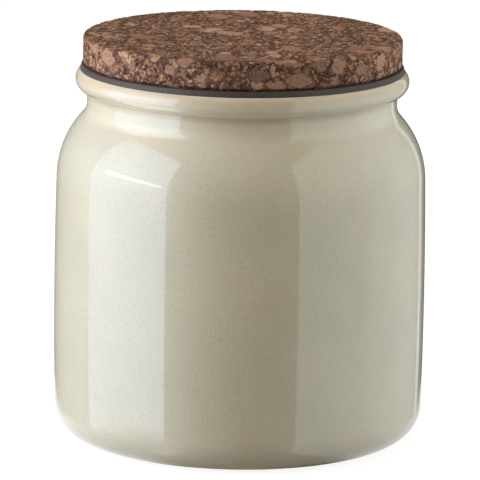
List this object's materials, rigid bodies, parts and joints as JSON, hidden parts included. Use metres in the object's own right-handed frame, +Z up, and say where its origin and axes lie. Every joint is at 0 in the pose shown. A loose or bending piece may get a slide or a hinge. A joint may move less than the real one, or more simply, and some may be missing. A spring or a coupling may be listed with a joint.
{
  "type": "lidded storage jar",
  "caption": "Straight-sided stoneware storage jar with a rolled rim, closed by a cork disc lid whose plug wears a silicone seal ring.",
  "frame": {"origin": "centre of the foot ring, on the surface that the jar stands on", "axes": "+Z up along the jar's axis; the jar is round, so +X and +Y are any two level directions"},
  "size_m": [0.12, 0.12, 0.1309],
  "materials": {
    "glazed_stoneware": "glossy celadon-beige glaze with a very fine speckle, thin and tan over the rim's edges, bare clay on the foot ring",
    "agglomerated_cork": "matte pressed cork: pinkish-brown chips of 2 to 9 mm in a dark granular ground",
    "silicone": "matte taupe-grey moulded silicone"
  },
  "bodies": {
    "root": {"stoneware_jar": "glazed_stoneware", "cork_lid": "agglomerated_cork", "silicone_seal": "silicone"}
  },
  "joints": []
}
